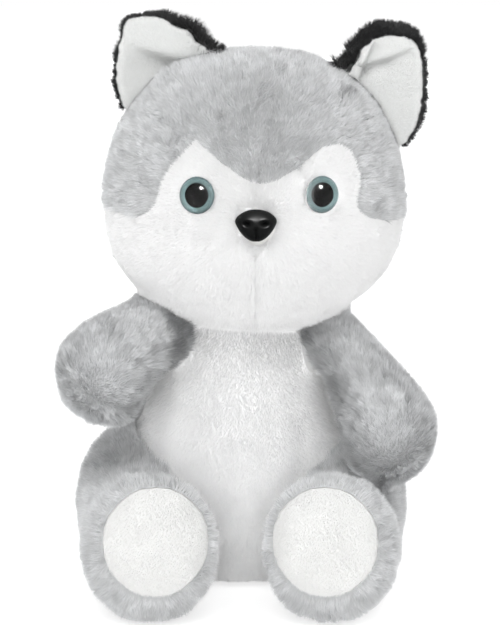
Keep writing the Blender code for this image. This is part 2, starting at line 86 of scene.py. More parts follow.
def in_picture(point):
    """Where the camera sees a point, in pixels of the picture from its top left."""
    seen = camera_turn.transposed() @ (point - camera.location)
    return Vector((photo_width / 2 - seen.x / seen.z / pixel,
                   photo_height / 2 + seen.y / seen.z / pixel))


def pulled(spot, pulls):
    """How far a place in the picture is drawn by pulls. A pull is its place across and down, its
    shift across and down, and its reach across and down.
    """
    shift = Vector((0, 0))
    for across, down, by_across, by_down, reach, reach_down in pulls:
        apart = (spot.x - across) / reach, (spot.y - down) / reach_down
        shift += math.exp(-apart[0] ** 2 - apart[1] ** 2) * Vector((by_across, by_down))
    return shift


def in_space(shift, back=0.0):
    """A shift in the picture as one in space, with how far it goes away from the camera."""
    across, up = (part * pixel * camera_away for part in (shift.x, -shift.y))
    return camera_turn @ Vector((across, up, -back))


def welded(name):
    """A copy of a frame node's mesh, its corners joined, and an arm's drawn clear of the belly."""
    form = bmesh.new()
    form.from_mesh(nodes[name].data)
    bmesh.ops.remove_doubles(form, verts=form.verts, dist=weld)
    for arm, pulls in arm_pulls.items():
        if name.startswith("arm_") and name.endswith(arm):
            for vertex in form.verts:
                vertex.co += in_space(pulled(in_picture(vertex.co), pulls))
    return form


def add_object(name, mesh):
    made = bpy.data.objects.new(name, mesh)
    scene.collection.objects.link(made)
    return made


def mesh_of(form, name):
    mesh = bpy.data.meshes.new(name)
    form.to_mesh(mesh)
    form.free()
    return mesh


def applied(made):
    """The object's own mesh becomes what its modifiers give, and they go."""
    bpy.context.view_layer.update()
    graph = bpy.context.evaluated_depsgraph_get()
    mesh = bpy.data.meshes.new_from_object(made.evaluated_get(graph))
    made.modifiers.clear()
    old = made.data
    made.data = mesh
    bpy.data.meshes.remove(old)
    mesh.name = made.name
    return made


def moved_out(mesh, distance):
    """Every point goes out along its normal."""
    shifts = [vertex.normal * distance for vertex in mesh.vertices]
    for vertex, shift in zip(mesh.vertices, shifts):
        vertex.co += shift


def rounded(made, size, turns):
    """The shape is skinned again with an even grain, and smoothed."""
    remesh = made.modifiers.new("grain", "REMESH")
    remesh.mode = "VOXEL"
    remesh.voxel_size = size
    smooth = made.modifiers.new("rounding", "SMOOTH")
    smooth.factor = smooth_share
    smooth.iterations = turns
    return applied(made)


together = bmesh.new()
for name in stuffed_names:
    copy = welded(name)
    copy.normal_update()
    for vertex in copy.verts:
        vertex.co += vertex.normal * gap_closed
    part = mesh_of(copy, name + "_grown")
    together.from_mesh(part)
    bpy.data.meshes.remove(part)
stuffed = rounded(add_object("stuffed_shape", mesh_of(together, "stuffed_shape")),
                  grain, rounding)
moved_out(stuffed.data, -pile_room - gap_closed)
rounded(stuffed, grain, rounding_again)
pile_side = bpy.data.materials.new("pile_side")
inner_side = bpy.data.materials.new("inner_side")
stuffed.data.materials.clear()
stuffed.data.materials.append(pile_side)
outward = kdtree.KDTree(len(stuffed.data.vertices))
for vertex in stuffed.data.vertices:
    outward.insert(vertex.co, vertex.index)
outward.balance()


def pile_area(made):
    """Area of the faces that the pile grows on."""
    slots = [index for index, kind in enumerate(made.data.materials) if kind == pile_side]
    return sum(face.area for face in made.data.polygons if face.material_index in slots)


def cloth(name):
    """One panel: what its wall in the frame keeps of the stuffed shape. A cut that keeps too
    little of it is made again, in the slower way that allows for crossings.
    """
    for careful in (False, True):
        mesh = mesh_of(welded(name), name + "_cloth")
        mesh.materials.clear()
        mesh.materials.append(inner_side)
        wall = sum(face.area for face in mesh.polygons)
        made = add_object(name + "_plush", mesh)
        keep = made.modifiers.new("keep", "BOOLEAN")
        keep.operation = "INTERSECT"
        keep.solver = "EXACT"
        keep.use_self = careful
        keep.object = stuffed
        keep.material_mode = "TRANSFER"
        applied(made)
        if careful or pile_area(made) > least_kept * wall:
            return made
        bpy.data.objects.remove(made)


# Pile: knitted plush whose strands lean over, and gather into small tufts.
# Each strand is a tapered blade that leans the way its panel is brushed. The colour of a strand
# is read from the piece's own map, where u is how light the strand is and v how far up it.
strand_map = "OFBake"
tip_starts = 0.75


class Wire:
    """A node socket that is added, scaled and mixed as a number or a vector is."""

    def __init__(self, tree, socket=None):
        self.tree = tree
        self.socket = socket

    def make(self, kind, settings=None, inputs=None, output=0):
        """A node by its type, its settings, and what goes in its sockets."""
        made = self.tree.nodes.new(kind)
        for key, value in (settings or {}).items():
            setattr(made, key, value)
        for key, value in (inputs or {}).items():
            if isinstance(value, Wire):
                self.tree.links.new(value.socket, made.inputs[key])
            else:
                made.inputs[key].default_value = value
        return Wire(self.tree, made.outputs[output])

    def is_vector(self):
        return self.socket.type == "VECTOR"

    def sum(self, operation, first, second):
        vector = any(isinstance(value, Wire) and value.is_vector() for value in (first, second))
        kind = "ShaderNodeVectorMath" if vector else "ShaderNodeMath"
        return self.make(kind, {"operation": operation}, {0: first, 1: second})

    def __add__(self, other):
        return self.sum("ADD", self, other)

    def __radd__(self, other):
        return self.sum("ADD", other, self)

    def __sub__(self, other):
        return self.sum("SUBTRACT", self, other)

    def __rsub__(self, other):
        return self.sum("SUBTRACT", other, self)

    def __mul__(self, other):
        if self.is_vector() and not (isinstance(other, Wire) and other.is_vector()):
            return self.make("ShaderNodeVectorMath", {"operation": "SCALE"}, {0: self, 3: other})
        return self.sum("MULTIPLY", self, other)

    __rmul__ = __mul__

    def between(self, low, high):
        """0 below low and 1 above high, with a soft step."""
        return self.make("ShaderNodeMapRange", {"interpolation_type": "SMOOTHSTEP"},
                         {0: self, 1: low, 2: high})

    def mix(self, first, second):
        """The first colour where this is 0, the second where it is 1."""
        return self.make("ShaderNodeMix", {"data_type": "RGBA"}, {0: self, 6: first, 7: second}, 2)

    def feed(self, socket):
        self.tree.links.new(self.socket, socket)


def colour(red, green, blue):
    """An sRGB colour of 0 to 255 as Blender's linear colour."""
    parts = [value / 255 for value in (red, green, blue)]
    return tuple(part / 12.92 if part <= 0.04045 else ((part + 0.055) / 1.055) ** 2.4
                 for part in parts) + (1,)


def finish_of(name, settings):
    """A Principled material with its fixed sockets set, and the wire to start its nodes from."""
    material = bpy.data.materials.new(name)
    material.use_nodes = True
    shader = material.node_tree.nodes["Principled BSDF"]
    for key, value in settings.items():
        shader.inputs[key].default_value = value
    return material, Wire(material.node_tree), shader.inputs


def strand_finish(name, root, dark, light, sheen):
    """Strands that go from the root's colour to the tip's, which is between dark and light."""
    material, start, sockets = finish_of(name, {
        "Roughness": 0.85, "Specular IOR Level": 0.2,
        "Sheen Weight": sheen, "Sheen Roughness": 0.45,
    })
    place = start.make("ShaderNodeUVMap", {"uv_map": strand_map})
    along = place.make("ShaderNodeSeparateXYZ", {}, {0: place}, "Y")
    lightness = place.make("ShaderNodeSeparateXYZ", {}, {0: place}, "X")
    tip = lightness.mix(dark, light)
    # Where a root's colour is darker than the tip's, that is painted shade deep in the pile.
    along.between(0.0, tip_starts).mix(root, tip).feed(sockets["Base Color"])
    return material


strand_form = bmesh.new()
strand_uv = strand_form.loops.layers.uv.new("strand")
strand_corners = [strand_form.verts.new(corner)
                  for corner in ((-0.5, 0, 0), (0, 0, 1), (0.5, 0, 0))]
for loop in strand_form.faces.new(strand_corners).loops:
    loop[strand_uv].uv = (loop.vert.co.x, loop.vert.co.z)
strand = add_object("strand", mesh_of(strand_form, "strand"))

pile_tree = bpy.data.node_groups.new("pile", "GeometryNodeTree")
pile_inputs = {}
length_range = (0.7, 1.1)
stand_off = 0.28
lie_off = 0.6
twist_off = 0.35
shade_range = (0.03, 0.97)
strand_on_map = 0.02
ground_on_map = (0.5, 0.04, 0.01)
floor_gap = 0.0002
for label, kind in (
    ("Cloth", "NodeSocketGeometry"), ("Strand", "NodeSocketObject"),
    ("Pile side", "NodeSocketMaterial"), ("Finish", "NodeSocketMaterial"),
    ("Strands per area", "NodeSocketFloat"),
    ("Length", "NodeSocketFloat"), ("Width", "NodeSocketFloat"), ("Stand", "NodeSocketFloat"),
    ("Tufts per area", "NodeSocketFloat"), ("Tuft pull", "NodeSocketFloat"),
    ("Lightness", "NodeSocketFloat"), ("Tuft shade", "NodeSocketFloat"),
    ("Strand shade", "NodeSocketFloat"), ("Seed", "NodeSocketInt"),
):
    socket = pile_tree.interface.new_socket(label, in_out="INPUT", socket_type=kind)
    pile_inputs[label] = socket.identifier
pile_tree.interface.new_socket("Plush", in_out="OUTPUT", socket_type="NodeSocketGeometry")
group_input = pile_tree.nodes.new("NodeGroupInput")
given = {label: Wire(pile_tree, group_input.outputs[label]) for label in pile_inputs}
start = Wire(pile_tree)


def stored(name, kind="FLOAT"):
    return start.make("GeometryNodeInputNamedAttribute", {"data_type": kind}, {"Name": name})


def store(geometry, name, value, kind, domain):
    return start.make("GeometryNodeStoreNamedAttribute", {"data_type": kind, "domain": domain},
                      {"Geometry": geometry, "Name": name, "Value": value})


def drawn(low, high, seed_step, picked=None):
    """A random number for each point, or for each value of what is picked."""
    sockets = {2: low, 3: high, "Seed": given["Seed"] + seed_step}
    if picked:
        sockets["ID"] = picked
    return start.make("FunctionNodeRandomValue", {"data_type": "FLOAT"}, sockets, 1)


on_pile_side = start.make("GeometryNodeMaterialSelection", {}, {"Material": given["Pile side"]})
roots = start.make("GeometryNodeDistributePointsOnFaces", {}, {
    "Mesh": given["Cloth"], "Selection": on_pile_side, "Density": given["Strands per area"],
    "Seed": given["Seed"]}, "Points")
tufts = start.make("GeometryNodeDistributePointsOnFaces", {}, {
    "Mesh": given["Cloth"], "Selection": on_pile_side, "Density": given["Tufts per area"],
    "Seed": given["Seed"] + 1}, "Points")
place = start.make("GeometryNodeInputPosition")
tuft = start.make("GeometryNodeSampleNearest", {}, {"Geometry": tufts})
middle = start.make("GeometryNodeSampleIndex", {"data_type": "FLOAT_VECTOR"},
                    {"Geometry": tufts, "Value": place, "Index": tuft})
length = given["Length"] * stored("high") * drawn(*length_range, 2)
stand = given["Stand"] + drawn(-stand_off, stand_off, 3)
up = stored("up", "FLOAT_VECTOR")
lie = stored("lie", "FLOAT_VECTOR")
aside = start.make("ShaderNodeVectorMath", {"operation": "CROSS_PRODUCT"}, {0: up, 1: lie})
lie = lie + aside * drawn(-lie_off, lie_off, 7)
rise = start.make("ShaderNodeMath", {"operation": "SINE"}, {0: stand})
reach = start.make("ShaderNodeMath", {"operation": "COSINE"}, {0: stand})
leaning = (up * rise + lie * reach) * length + (middle - place) * given["Tuft pull"]
jitter = start.make("FunctionNodeRandomValue", {"data_type": "FLOAT_VECTOR"}, {
    0: (-twist_off,) * 3, 1: (twist_off,) * 3, "Seed": given["Seed"] + 4}, 0)
turn = start.make("FunctionNodeAlignRotationToVector", {"axis": "Z"}, {"Vector": leaning})
turn = start.make("FunctionNodeAlignRotationToVector", {"axis": "Y", "pivot_axis": "Z"},
                  {"Rotation": turn, "Vector": up * reach - lie * rise + jitter})
size = start.make("ShaderNodeCombineXYZ", {}, {0: given["Width"], 1: length, 2: length})
shade = (given["Lightness"] + stored("shade") + drawn(-1.0, 1.0, 5, tuft) * given["Tuft shade"]
         + drawn(-1.0, 1.0, 6) * given["Strand shade"])
shade = start.make("ShaderNodeClamp", {}, {0: shade, 1: shade_range[0], 2: shade_range[1]})
planted = store(roots, "lightness", shade, "FLOAT", "POINT")
pattern = start.make("GeometryNodeObjectInfo", {}, {"Object": given["Strand"]}, "Geometry")
planted = start.make("GeometryNodeInstanceOnPoints", {}, {
    "Points": planted, "Instance": pattern, "Rotation": turn, "Scale": size})
grown = start.make("GeometryNodeRealizeInstances", {}, {0: planted})
own = start.make("ShaderNodeSeparateXYZ", {}, {0: stored("strand", "FLOAT_VECTOR")}, "X")
own_up = start.make("ShaderNodeSeparateXYZ", {}, {0: stored("strand", "FLOAT_VECTOR")}, "Y")
on_map = start.make("ShaderNodeCombineXYZ", {}, {
    0: stored("lightness") + own * strand_on_map, 1: own_up})
grown = store(grown, strand_map, on_map, "FLOAT2", "CORNER")
corner = start.make("GeometryNodeInputIndex") * (2 * math.pi / 3)
round_u = start.make("ShaderNodeMath", {"operation": "COSINE"}, {0: corner})
round_v = start.make("ShaderNodeMath", {"operation": "SINE"}, {0: corner})
ground_u, ground_v, ground_radius = ground_on_map
on_map = start.make("ShaderNodeCombineXYZ", {}, {
    0: ground_u + ground_radius * round_u, 1: ground_v + ground_radius * round_v})
ground = store(given["Cloth"], strand_map, on_map, "FLOAT2", "CORNER")
joined = pile_tree.nodes.new("GeometryNodeJoinGeometry")
pile_tree.links.new(grown.socket, joined.inputs[0])
pile_tree.links.new(ground.socket, joined.inputs[0])
plush = Wire(pile_tree, joined.outputs[0])
flat = start.make("ShaderNodeSeparateXYZ", {}, {0: place}, "Z")
above_floor = start.make("ShaderNodeMath", {"operation": "MAXIMUM"}, {0: flat, 1: floor_gap})
raised = start.make("ShaderNodeCombineXYZ", {}, {2: above_floor - flat})
plush = start.make("GeometryNodeSetPosition", {}, {"Geometry": plush, "Offset": raised})
for name in ("lightness", "strand", "up", "lie", "high", "shade"):
    plush = start.make("GeometryNodeRemoveAttribute", {}, {"Geometry": plush, "Name": name})
plush = start.make("GeometryNodeSetMaterial", {}, {"Geometry": plush, "Material": given["Finish"]})
group_output = pile_tree.nodes.new("NodeGroupOutput")
pile_tree.links.new(plush.socket, group_output.inputs[0])


# Brushing: how fast the noise of each kind changes per metre, and how strong the effects are.
# The noise has a fixed seed, because without one each run would brush the pile another way.
noise.seed_set(3)
sway_noise, curl_noise = 110, 330
high_noise, high_middle, high_range = 160, 0.9, 0.25
shade_noise, shade_spread = 45, 0.07
# Partings and clearings are painted darker, as the shade in them.
parting_reach, parting_push, parting_low, parting_painted_shade = 0.0032, 1.6, 0.72, 0.50
clearing_painted_shade = 0.5
over_push, over_high = 0.9, 0.5


def soft_step(value):
    value = min(max(value, 0), 1)
    return value * value * (3 - 2 * value)


def nearest_on(spot, first, second):
    """The point of a straight piece of line that is nearest to the spot."""
    share = (spot - first).dot(second - first) / (second - first).length_squared
    return first.lerp(second, min(max(share, 0), 1))


def brushed(made, away_from, sway, curl, clearings=(), partings=(), patches=(), over=None,
            shading=None, own_normals=False):
    """Store at every point which way the pile leans, how high it is and how light.

    It leans away from a point, swaying and curling. A clearing is a place, its radius, its fade,
    how far the pile leans out of it (over it where below 0), and how much lower it is there; as
    much as it is lower it is painted darker, as the shade round a fitting. It is low along the
    stitched lines in partings and painted darker there, as the shade in the parting, and leans
    over the seam whose x is given. A patch is a place, its reach, and how much lighter and higher
    the pile is in it. Shading adds painted light and shade by place.
    """
    mesh = made.data
    ups, lies, highs, shades = [], [], [], []
    for vertex in mesh.vertices:
        spot = vertex.co.copy()
        normal = (vertex.normal if own_normals
                  else stuffed.data.vertices[outward.find(spot)[1]].normal).copy()
        way = (spot - away_from).normalized()
        way += sway * noise.noise_vector(spot * sway_noise)
        way += curl * noise.noise_vector(spot * curl_noise)
        high = high_middle + high_range * noise.noise(spot * high_noise)
        shade = shade_spread * noise.noise(spot * shade_noise)
        if shading:
            shade += shading(spot)
        for centre, reach, lighter, higher in patches:
            near = math.exp(-((spot - centre).length / reach) ** 2)
            shade += lighter * near
            high *= 1 + higher * near
        for centre, radius, fade, aside, lower in clearings:
            apart = spot - centre
            near = 1 - soft_step((apart.length - radius) / fade)
            way = way.lerp(apart.normalized() * aside, near)
            high *= 1 - lower * near
            shade -= clearing_painted_shade * lower * near
        for line in partings:
            if len(line) < 2:
                continue
            gaps = [spot - nearest_on(spot, *ends) for ends in zip(line, line[1:])]
            apart = min(gaps, key=lambda gap: gap.length)
            near = 1 - soft_step(apart.length / parting_reach)
            way += parting_push * apart.normalized() * near
            high *= 1 - parting_low * near
            shade -= parting_painted_shade * near
        if over is not None:
            near = 1 - soft_step(abs(spot.x - over) / parting_reach)
            way.x += math.copysign(over_push * near, over - spot.x)
            high *= 1 + over_high * near
        way -= normal * way.dot(normal)
        ups.extend(normal)
        lies.extend(way.normalized())
        highs.append(high)
        shades.append(shade)
    for name, kind, values in (("up", "FLOAT_VECTOR", ups), ("lie", "FLOAT_VECTOR", lies),
                               ("high", "FLOAT", highs), ("shade", "FLOAT", shades)):
        mesh.attributes.new(name, kind, "POINT").data.foreach_set(
            "vector" if kind == "FLOAT_VECTOR" else "value", values)
    return made


def grow(made, finish, strands, length, width, stand, tuft_size, pull, lightness, tuft_shade,
         strand_shade, seed):
    """The pile is grown on the cloth, and becomes plain mesh."""
    values = {
        "Strand": strand, "Pile side": pile_side, "Finish": finish,
        "Strands per area": strands / pile_area(made),
        "Length": length, "Width": width, "Stand": math.radians(stand),
        "Tufts per area": 1 / tuft_size ** 2, "Tuft pull": pull, "Lightness": lightness,
        "Tuft shade": tuft_shade, "Strand shade": strand_shade, "Seed": seed,
    }
    pile = made.modifiers.new("pile", "NODES")
    pile.node_group = pile_tree
    for label, value in values.items():
        pile[pile_inputs[label]] = value
    applied(made)


def finished(made, slot, fill, *replaced):
    """The piece is fixed to the part, and stands in for the frame's."""
    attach(made, "root")
    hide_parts(*replaced)


# Hood: grey plush over the crown, the sides and the back of the head, brushed away from the face.
# It is the largest panel. The pile on the forehead is shorter and painted darker, as the shade of
# its nap, and it stands up at the feet of the ears.


def seen_at(form, across, down):
    """The point of a piece that the camera sees at this place of the picture."""
    aim = Vector(((across - photo_width / 2) * pixel, (photo_height / 2 - down) * pixel, -1))
    hit, point, _, _ = form.ray_cast(camera.location, camera_turn @ aim)
    return point if hit else None


def middle_of(name):
    low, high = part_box(name)
    return (Vector(low) + Vector(high)) / 2


grey_strands = strand_finish("grey_plush", colour(180, 181, 182), colour(116, 117, 118),
                             colour(232, 233, 234), sheen=0.4)
nose_place = middle_of("nose")
# The pile is lower round the eyes and painted darker there, as the shade at their rims.
clearings = [(middle_of("eye_lens_" + side), 0.0066, 0.0024, 1.5, 0.7)
             for side in ("left", "right")]
under_nose = nose_place + Vector((0, 0, -0.0085))
clearings.append((under_nose, 0.0030, 0.0035, -1.6, 0))
face_pole = Vector((0.004, -0.060, 0.160))
grey_pile = {"length": 0.0046, "width": 0.00029, "stand": 48, "tuft_size": 0.0030, "pull": 0.22,
             "lightness": 0.68, "tuft_shade": 0.12, "strand_shade": 0.14}
cloth_fill = 0.8
hood = cloth("hood")
# The forehead is painted darker, as the shade of its nap, and its pile is lower.
forehead_shade_and_short_pile = (Vector((0.004, -0.045, 0.198)), 0.024, -0.20, -0.2)
ear_feet = [(seen_at(hood, *spot), 0.008, 0.05, 0.35)
            for spot in ((165, 78), (190, 70), (362, 88))]
# The crease beside the right ear is a parting, painted darker as the shade in it.
ear_crease = [seen_at(hood, *spot) for spot in ((376, 90), (385, 102), (396, 122))]
brushed(hood, face_pole, sway=1.0, curl=1.2, clearings=clearings,
        partings=[[spot for spot in ear_crease if spot]],
        patches=[forehead_shade_and_short_pile] + [patch for patch in ear_feet if patch[0]])
grow(hood, grey_strands, strands=154000, seed=11, **grey_pile)
finished(hood, "grey_plush", cloth_fill, "hood")

# Face: two white panels sewn under the nose, with a shorter and finer pile than the hood's.
# It is brushed away from the nose, hides the middle seam, and is painted lighter under the chin,
# against the shade that falls there.
white_strands = strand_finish("white_plush", colour(228, 228, 228), colour(220, 220, 220),
                              colour(245, 245, 245), sheen=0.15)
white_pile = {"length": 0.0024, "width": 0.00024, "stand": 42, "tuft_size": 0.0030, "pull": 0.06,
              "lightness": 0.5, "tuft_shade": 0.04, "strand_shade": 0.07}
# Painted light under the chin, where it faces down.
chin_painted_light, chin_top, chin_fade = 0.35, 0.118, 0.020


def past(value, start, fade):
    """0 before the start, and 1 beyond the fade."""
    return soft_step((value - start) / fade)


for side, seed in (("left", 21), ("right", 22)):
    name = "face_panel_" + side
    panel = brushed(cloth(name), nose_place, sway=0.5, curl=0.7, clearings=clearings,
                    over=nose_place.x,
                    shading=lambda spot: chin_painted_light * (1 - past(spot.z, chin_top, chin_fade)))
    grow(panel, white_strands, strands=56000, seed=seed, **white_pile)
    finished(panel, "white_plush", cloth_fill, name)

# Belly and back: the white front from the throat to under the seat, and two grey back panels.
# All of it is brushed down. The belly is painted lighter low down and at its sides, against the
# shade of the arms and legs, and painted darker under the chin, as the chin's shadow.
belly_strands = strand_finish("belly_plush", colour(240, 240, 240), colour(205, 205, 205),
                              colour(253, 253, 253), sheen=0.2)
high_above = Vector((0, 0.01, 0.6))
belly_middle = 0.004
# Painted light low down and at the sides, and painted shade going up and under the chin.
low_painted_light, up_painted_shade, throat_painted_shade, side_painted_light = 0.22, 0.35, 0.35, 0.45


def belly_shade(spot):
    """How much painted light the pile has at a place of the belly; below 0 it is painted shade."""
    return (low_painted_light - up_painted_shade * past(spot.z, 0.020, 0.060)
            - throat_painted_shade * past(spot.z, 0.085, 0.020)
            + side_painted_light * past(abs(spot.x - belly_middle), 0.012, 0.030))


belly = brushed(cloth("belly_panel"), high_above, sway=0.5, curl=0.3, shading=belly_shade)
grow(belly, belly_strands, strands=88000, seed=31, **white_pile)
finished(belly, "white_plush", cloth_fill, "belly_panel")
for side, seed in (("left", 32), ("right", 33)):
    name = "back_panel_" + side
    panel = brushed(cloth(name), high_above, sway=0.7, curl=0.9)
    grow(panel, grey_strands, strands=28000, seed=seed, **grey_pile)
    finished(panel, "grey_plush", cloth_fill, name)

# Arms: stuffed grey sleeves, brushed from the paw back to the shoulder.
# A stitched line crosses the front of each paw, and the pile parts along it and is painted darker
# there, as the shade in the parting. The lines and the painted light and shade (place, reach, how
# much lighter) are placed in pixels of the picture.
paws = {"left": Vector((-0.080, -0.050, 0.062)), "right": Vector((0.078, -0.050, 0.030))}
paw_seams = {
    "left": ((66, 372), (76, 388), (90, 400), (104, 408), (120, 408), (135, 403)),
    "right": ((360, 468), (371, 474), (392, 475), (410, 463), (424, 450)),
}
# Painted shade where each arm meets the body, and painted light low on the paws and near the right
# shoulder.
arm_painted_marks = {
    "left": ((172, 318, 0.0065, -0.60), (178, 335, 0.0075, -0.80), (170, 352, 0.0060, -0.50),
             (92, 402, 0.016, 0.50)),
    "right": ((312, 336, 0.0060, -0.60), (326, 356, 0.0070, -0.40), (340, 385, 0.0090, -0.25),
              (344, 420, 0.0080, -0.20), (402, 448, 0.016, 0.40), (362, 335, 0.014, 0.15)),
}
for side, seed in (("left", 41), ("right", 42)):
    name = "arm_skin_" + side
    arm = cloth(name)
    stitched = [seen_at(arm, *spot) for spot in paw_seams[side]]
    painted_marks = [(seen_at(arm, across, down), reach, lighter, 0)
             for across, down, reach, lighter in arm_painted_marks[side]]
    brushed(arm, paws[side], sway=0.45, curl=0.8,
            partings=[[point for point in stitched if point]],
            patches=[painted_mark for painted_mark in painted_marks if painted_mark[0]])
    grow(arm, grey_strands, strands=66000, seed=seed, **grey_pile)
    finished(arm, "grey_plush", cloth_fill, name)

# Legs: stuffed grey sleeves from the hip round the foot, brushed back from the sole.
# A white pad of short nap is sewn into each sole. The haunches are painted darker, as the shade
# between arm and leg, and their pile is lower.
soles = {"left": Vector((-0.0340, -0.092, 0.0355)), "right": Vector((0.0340, -0.092, 0.0355))}
nap_strands = strand_finish("white_nap", colour(221, 221, 220), colour(219, 219, 218),
                            colour(231, 231, 230), sheen=0.1)
nap = {"length": 0.0012, "width": 0.00017, "stand": 50, "tuft_size": 0.0030, "pull": 0.05,
       "lightness": 0.5, "tuft_shade": 0.02, "strand_shade": 0.03}
haunch_painted_shade, haunch_low = -0.35, -0.1
haunches = {"left": ((98, 462, 0.012), (120, 466, 0.010)),
            "right": ((372, 480, 0.008), (382, 500, 0.008), (342, 468, 0.006))}
for side, seed in (("left", 51), ("right", 52)):
    name = "leg_skin_" + side
    leg = cloth(name)
    # Painted shade on the haunches, between arm and leg.
    dark = [(seen_at(leg, across, down), reach, haunch_painted_shade, haunch_low)
            for across, down, reach in haunches[side]]
    brushed(leg, soles[side], sway=1.0, curl=1.3, patches=[patch for patch in dark if patch[0]])
    grow(leg, grey_strands, strands=69000, seed=seed, **grey_pile)
    finished(leg, "grey_plush", cloth_fill, name)
    name = "foot_pad_" + side
    pad = brushed(cloth(name), high_above, sway=0.4, curl=0.3)
    grow(pad, nap_strands, strands=22000, seed=seed + 2, **nap)
    finished(pad, "white_nap", cloth_fill, name)

# Tail: a short grey sleeve, stuffed and sewn into the back seam.
# It is brushed from the seam to its tip.
tail_root = Vector((0, 0.04, 0.026))
tail = brushed(cloth("tail_skin"), tail_root, sway=1.0, curl=1.0)
grow(tail, grey_strands, strands=13000, seed=61, **grey_pile)
finished(tail, "grey_plush", cloth_fill, "tail_skin")

# Ears: a black long-pile back sewn to a lining of white short nap, curled forward and creased.
# The black pile grows only where the lining doesn't cover the back.
black_strands = strand_finish("black_plush", colour(8, 8, 8), colour(14, 14, 15),
                              colour(40, 40, 41), sheen=0.1)
lining_strands = strand_finish("lining_nap", colour(196, 197, 196), colour(120, 121, 120),
                               colour(243, 244, 243), sheen=0.15)
ear_inset = 0.0018
ear_grain = 0.0009
ear_rounding = 8
ear_fill, lining_fill = 0.6, 0.5
crease_end = 5
# A crease steps the ear back with painted shade on one side, and out with a little painted light
# on the other.
other_side_out, other_side_painted_light = 0.35, 0.12
lining_reach = 0.0024
black_pile = {"length": 0.0050, "width": 0.00036, "stand": 46, "tuft_size": 0.0021, "pull": 0.42,
              "lightness": 0.5, "tuft_shade": 0.25, "strand_shade": 0.20}
lining_nap = {"length": 0.0010, "width": 0.00015, "stand": 52, "tuft_size": 0.0030, "pull": 0.05,
              "lightness": 0.88, "tuft_shade": 0.02, "strand_shade": 0.04}

# In pixels of the picture. A crease is its line of (across, down, strength), its depth, its reach
# and how much shade is painted below it. Low gives the places where the pile is shorter, their
# reach and by how much.
ears = {
    "left": {
        "seed": 71, "root": Vector((-0.034, -0.004, 0.196)),
        "pulls": ((133, 20, -5, -2, 14, 14), (152, 8, 0, 4, 16, 16), (178, 14, 1, 12, 16, 16),
                  (199, 32, 0, 9, 12, 12)),
        "creases": ((((136, 46, 0.2), (152, 52, 0.7), (168, 57, 1.0), (186, 61, 1.0)),
                     0.0040, 7, 0.80),
                    (((186, 63, 1), (195, 57, 0.6)), 0.0010, 2, 0.6)),
        "low": (((138, 12), 24, -0.55), ((160, 4), 10, -0.4), ((113, 60), 20, -0.1),
                ((198, 30), 18, 0.7)),
    },
    "right": {
        "seed": 72, "root": Vector((0.050, -0.004, 0.196)),
        "pulls": ((390, 28, 0, 4, 20, 20), (350, 62, 2, 5, 10, 10)),
        "creases": ((((358, 80, 1), (372, 46, 0.7)), 0.0022, 2.5, 0.5),
                    (((364, 64, 1), (385, 59, 0.9), (408, 50, 0.4)), 0.0026, 4.5, 0.55)),
        "low": (((390, 16), 30, -0.45), ((430, 70), 20, -0.2)),
    },
}


def beside(spot, line):
    """How far a place in the picture is from a line, which is above 0 on the side that steps back,
    how strong the line is there, and how far past its ends the place is.
    """
    best = None
    for (*first, first_strength), (*second, second_strength) in zip(line, line[1:]):
        first, second = Vector(first), Vector(second)
        along = second - first
        share = (spot - first).dot(along) / along.length_squared
        held = min(max(share, 0), 1)
        apart = spot - first.lerp(second, held)
        sign = 1 if along.x * (spot - first).y > along.y * (spot - first).x else -1
        if best is None or apart.length < abs(best[0]):
            strength = first_strength + held * (second_strength - first_strength)
            best = (sign * apart.length, strength, abs(share - held) * along.length)
    return best


def stepped(spot, creases):
    """How far the ear steps back at a place in the picture, and the painted shade there."""
    back, dark = 0, 0
    for line, depth, reach, darker in creases:
        side, strength, beyond = beside(spot, line)
        strength *= math.exp(-(beyond / crease_end) ** 2)
        near = abs(side) / reach * math.exp(1 - abs(side) / reach) * strength
        back += depth * near * (1 if side > 0 else -other_side_out)
        dark += darker * near * (1 if side > 0 else -other_side_painted_light)
    return back, dark


def folded(mesh, ear):
    """The ear takes the outline and the creases of the picture."""
    for vertex in mesh.vertices:
        spot = in_picture(vertex.co)
        shift = pulled(spot, ear["pulls"])
        vertex.co += in_space(shift, stepped(spot + shift, ear["creases"])[0])
    mesh.update()


for side, ear in ears.items():
    name = "ear_lining_" + side
    lining = rounded(add_object(name + "_nap", mesh_of(welded(name), name + "_nap")),
                     ear_grain, ear_rounding)
    name = "ear_back_" + side
    back = rounded(add_object(name + "_plush", mesh_of(welded(name), name + "_cloth")),
                   ear_grain, ear_rounding)
    moved_out(back.data, -ear_inset)
    covered = kdtree.KDTree(len(lining.data.vertices))
    for vertex in lining.data.vertices:
        covered.insert(vertex.co, vertex.index)
    covered.balance()
    for made in (lining, back):
        made.data.materials.clear()
        made.data.materials.append(pile_side)
    back.data.materials.append(inner_side)
    for face in back.data.polygons:
        if covered.find(face.center)[2] < lining_reach and face.normal.y < 0:
            face.material_index = 1
    folded(lining.data, ear)
    folded(back.data, ear)
    brushed(back, ear["root"], sway=0.5, curl=0.6, own_normals=True)
    heights = back.data.attributes["high"].data
    for vertex, height in zip(back.data.vertices, heights):
        for place, reach, higher in ear["low"]:
            near = math.exp(-((in_picture(vertex.co) - Vector(place)).length / reach) ** 2)
            height.value *= 1 + higher * near
    grow(back, black_strands, strands=26000, seed=ear["seed"], **black_pile)
    finished(back, "black_plush", ear_fill, name)
    # The lining is painted darker below its creases, as their shade, and a little lighter beside
    # them.
    brushed(lining, ear["root"], sway=0.4, curl=0.3, own_normals=True,
            shading=lambda spot: -stepped(in_picture(spot), ear["creases"])[1])
    grow(lining, lining_strands, strands=16000, seed=ear["seed"] + 2, **lining_nap)
    finished(lining, "white_nap", lining_fill, "ear_lining_" + side)

